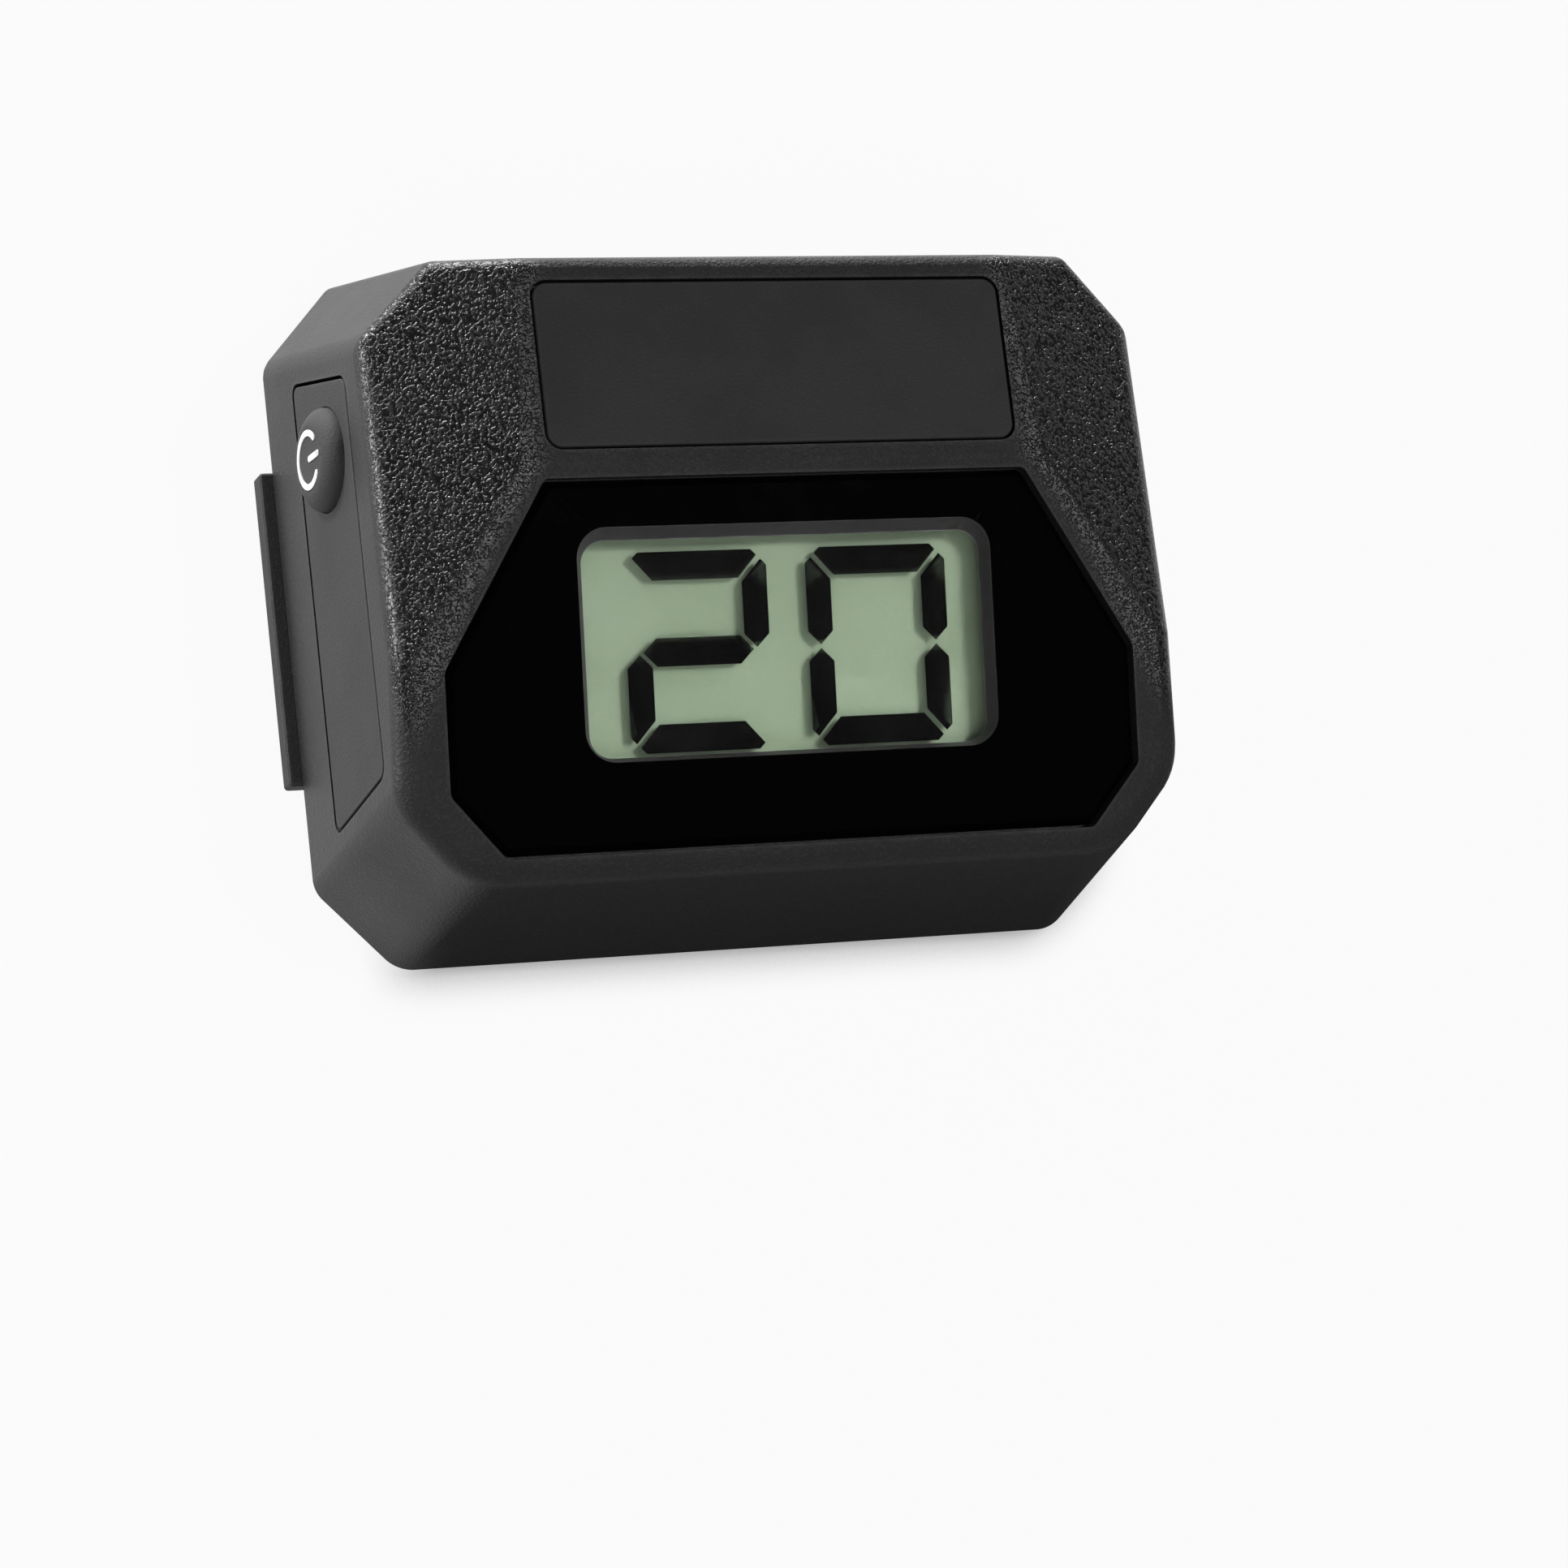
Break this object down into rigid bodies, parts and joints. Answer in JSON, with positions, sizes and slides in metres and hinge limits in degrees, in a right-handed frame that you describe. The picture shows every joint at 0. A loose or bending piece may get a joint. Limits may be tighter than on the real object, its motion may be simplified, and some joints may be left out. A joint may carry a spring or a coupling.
{
  "type": "digital angle gauge",
  "caption": "Small digital angle gauge with a gem-cut case, a sloping black window over a segment display, a side power button and a magnetic base plate for a blade.",
  "frame": {"origin": "middle of the base plate's contact face", "axes": "+X to the right of the display, +Y to its top, +Z out of it, away from the blade"},
  "size_m": [0.0432, 0.0342, 0.0164],
  "materials": {
    "case": "charcoal, spark-eroded texture",
    "inlay": "charcoal, fine texture",
    "panel": "charcoal, smooth",
    "button": "charcoal, smooth",
    "print": "white print",
    "lens": "clear polished",
    "mask": "black print",
    "bezel": "dark grey",
    "display_glass": "clear",
    "figures": "dark segments",
    "reflector": "grey-green",
    "holder": "white moulding",
    "strips": "pink elastomer",
    "board": "green laminate",
    "screw_steel": "plain",
    "resin": "black resin",
    "ceramic": "tan ceramic",
    "cell_steel": "nickel plated",
    "contact": "gold plated",
    "plate": "charcoal, smooth"
  },
  "bodies": {
    "case": {"housing": "case", "top_inlay": "inlay", "side_panel": "panel", "window_lens": "lens", "window_mask": "mask", "display_bezel": "bezel", "display_front_glass": "display_glass", "display_figures": "figures", "display_rear_glass": "display_glass", "display_reflector": "reflector", "display_holder": "holder", "connector_strips": "strips", "circuit_board": "board", "board_screws": "screw_steel", "controller": "resin", "tilt_sensor": "resin", "chip_capacitors": "ceramic", "crystal": "screw_steel", "switch_body": "bezel", "coin_cell": "cell_steel", "cell_holder": "bezel", "cell_clip": "cell_steel", "cell_contact": "contact", "rear_cover": "case", "case_screws": "screw_steel", "magnets": "cell_steel", "base_plate": "plate"},
    "button": {"power_button": "button", "power_symbol": "print", "switch_plunger": "holder"}
  },
  "joints": [
    {"name": "button_press", "type": "slide", "parent": "case", "child": "button", "axis": [0.9952, 0, -0.0976], "range_m": [0, 0.0005], "stiffness_N_per_m": 2400}
  ]
}
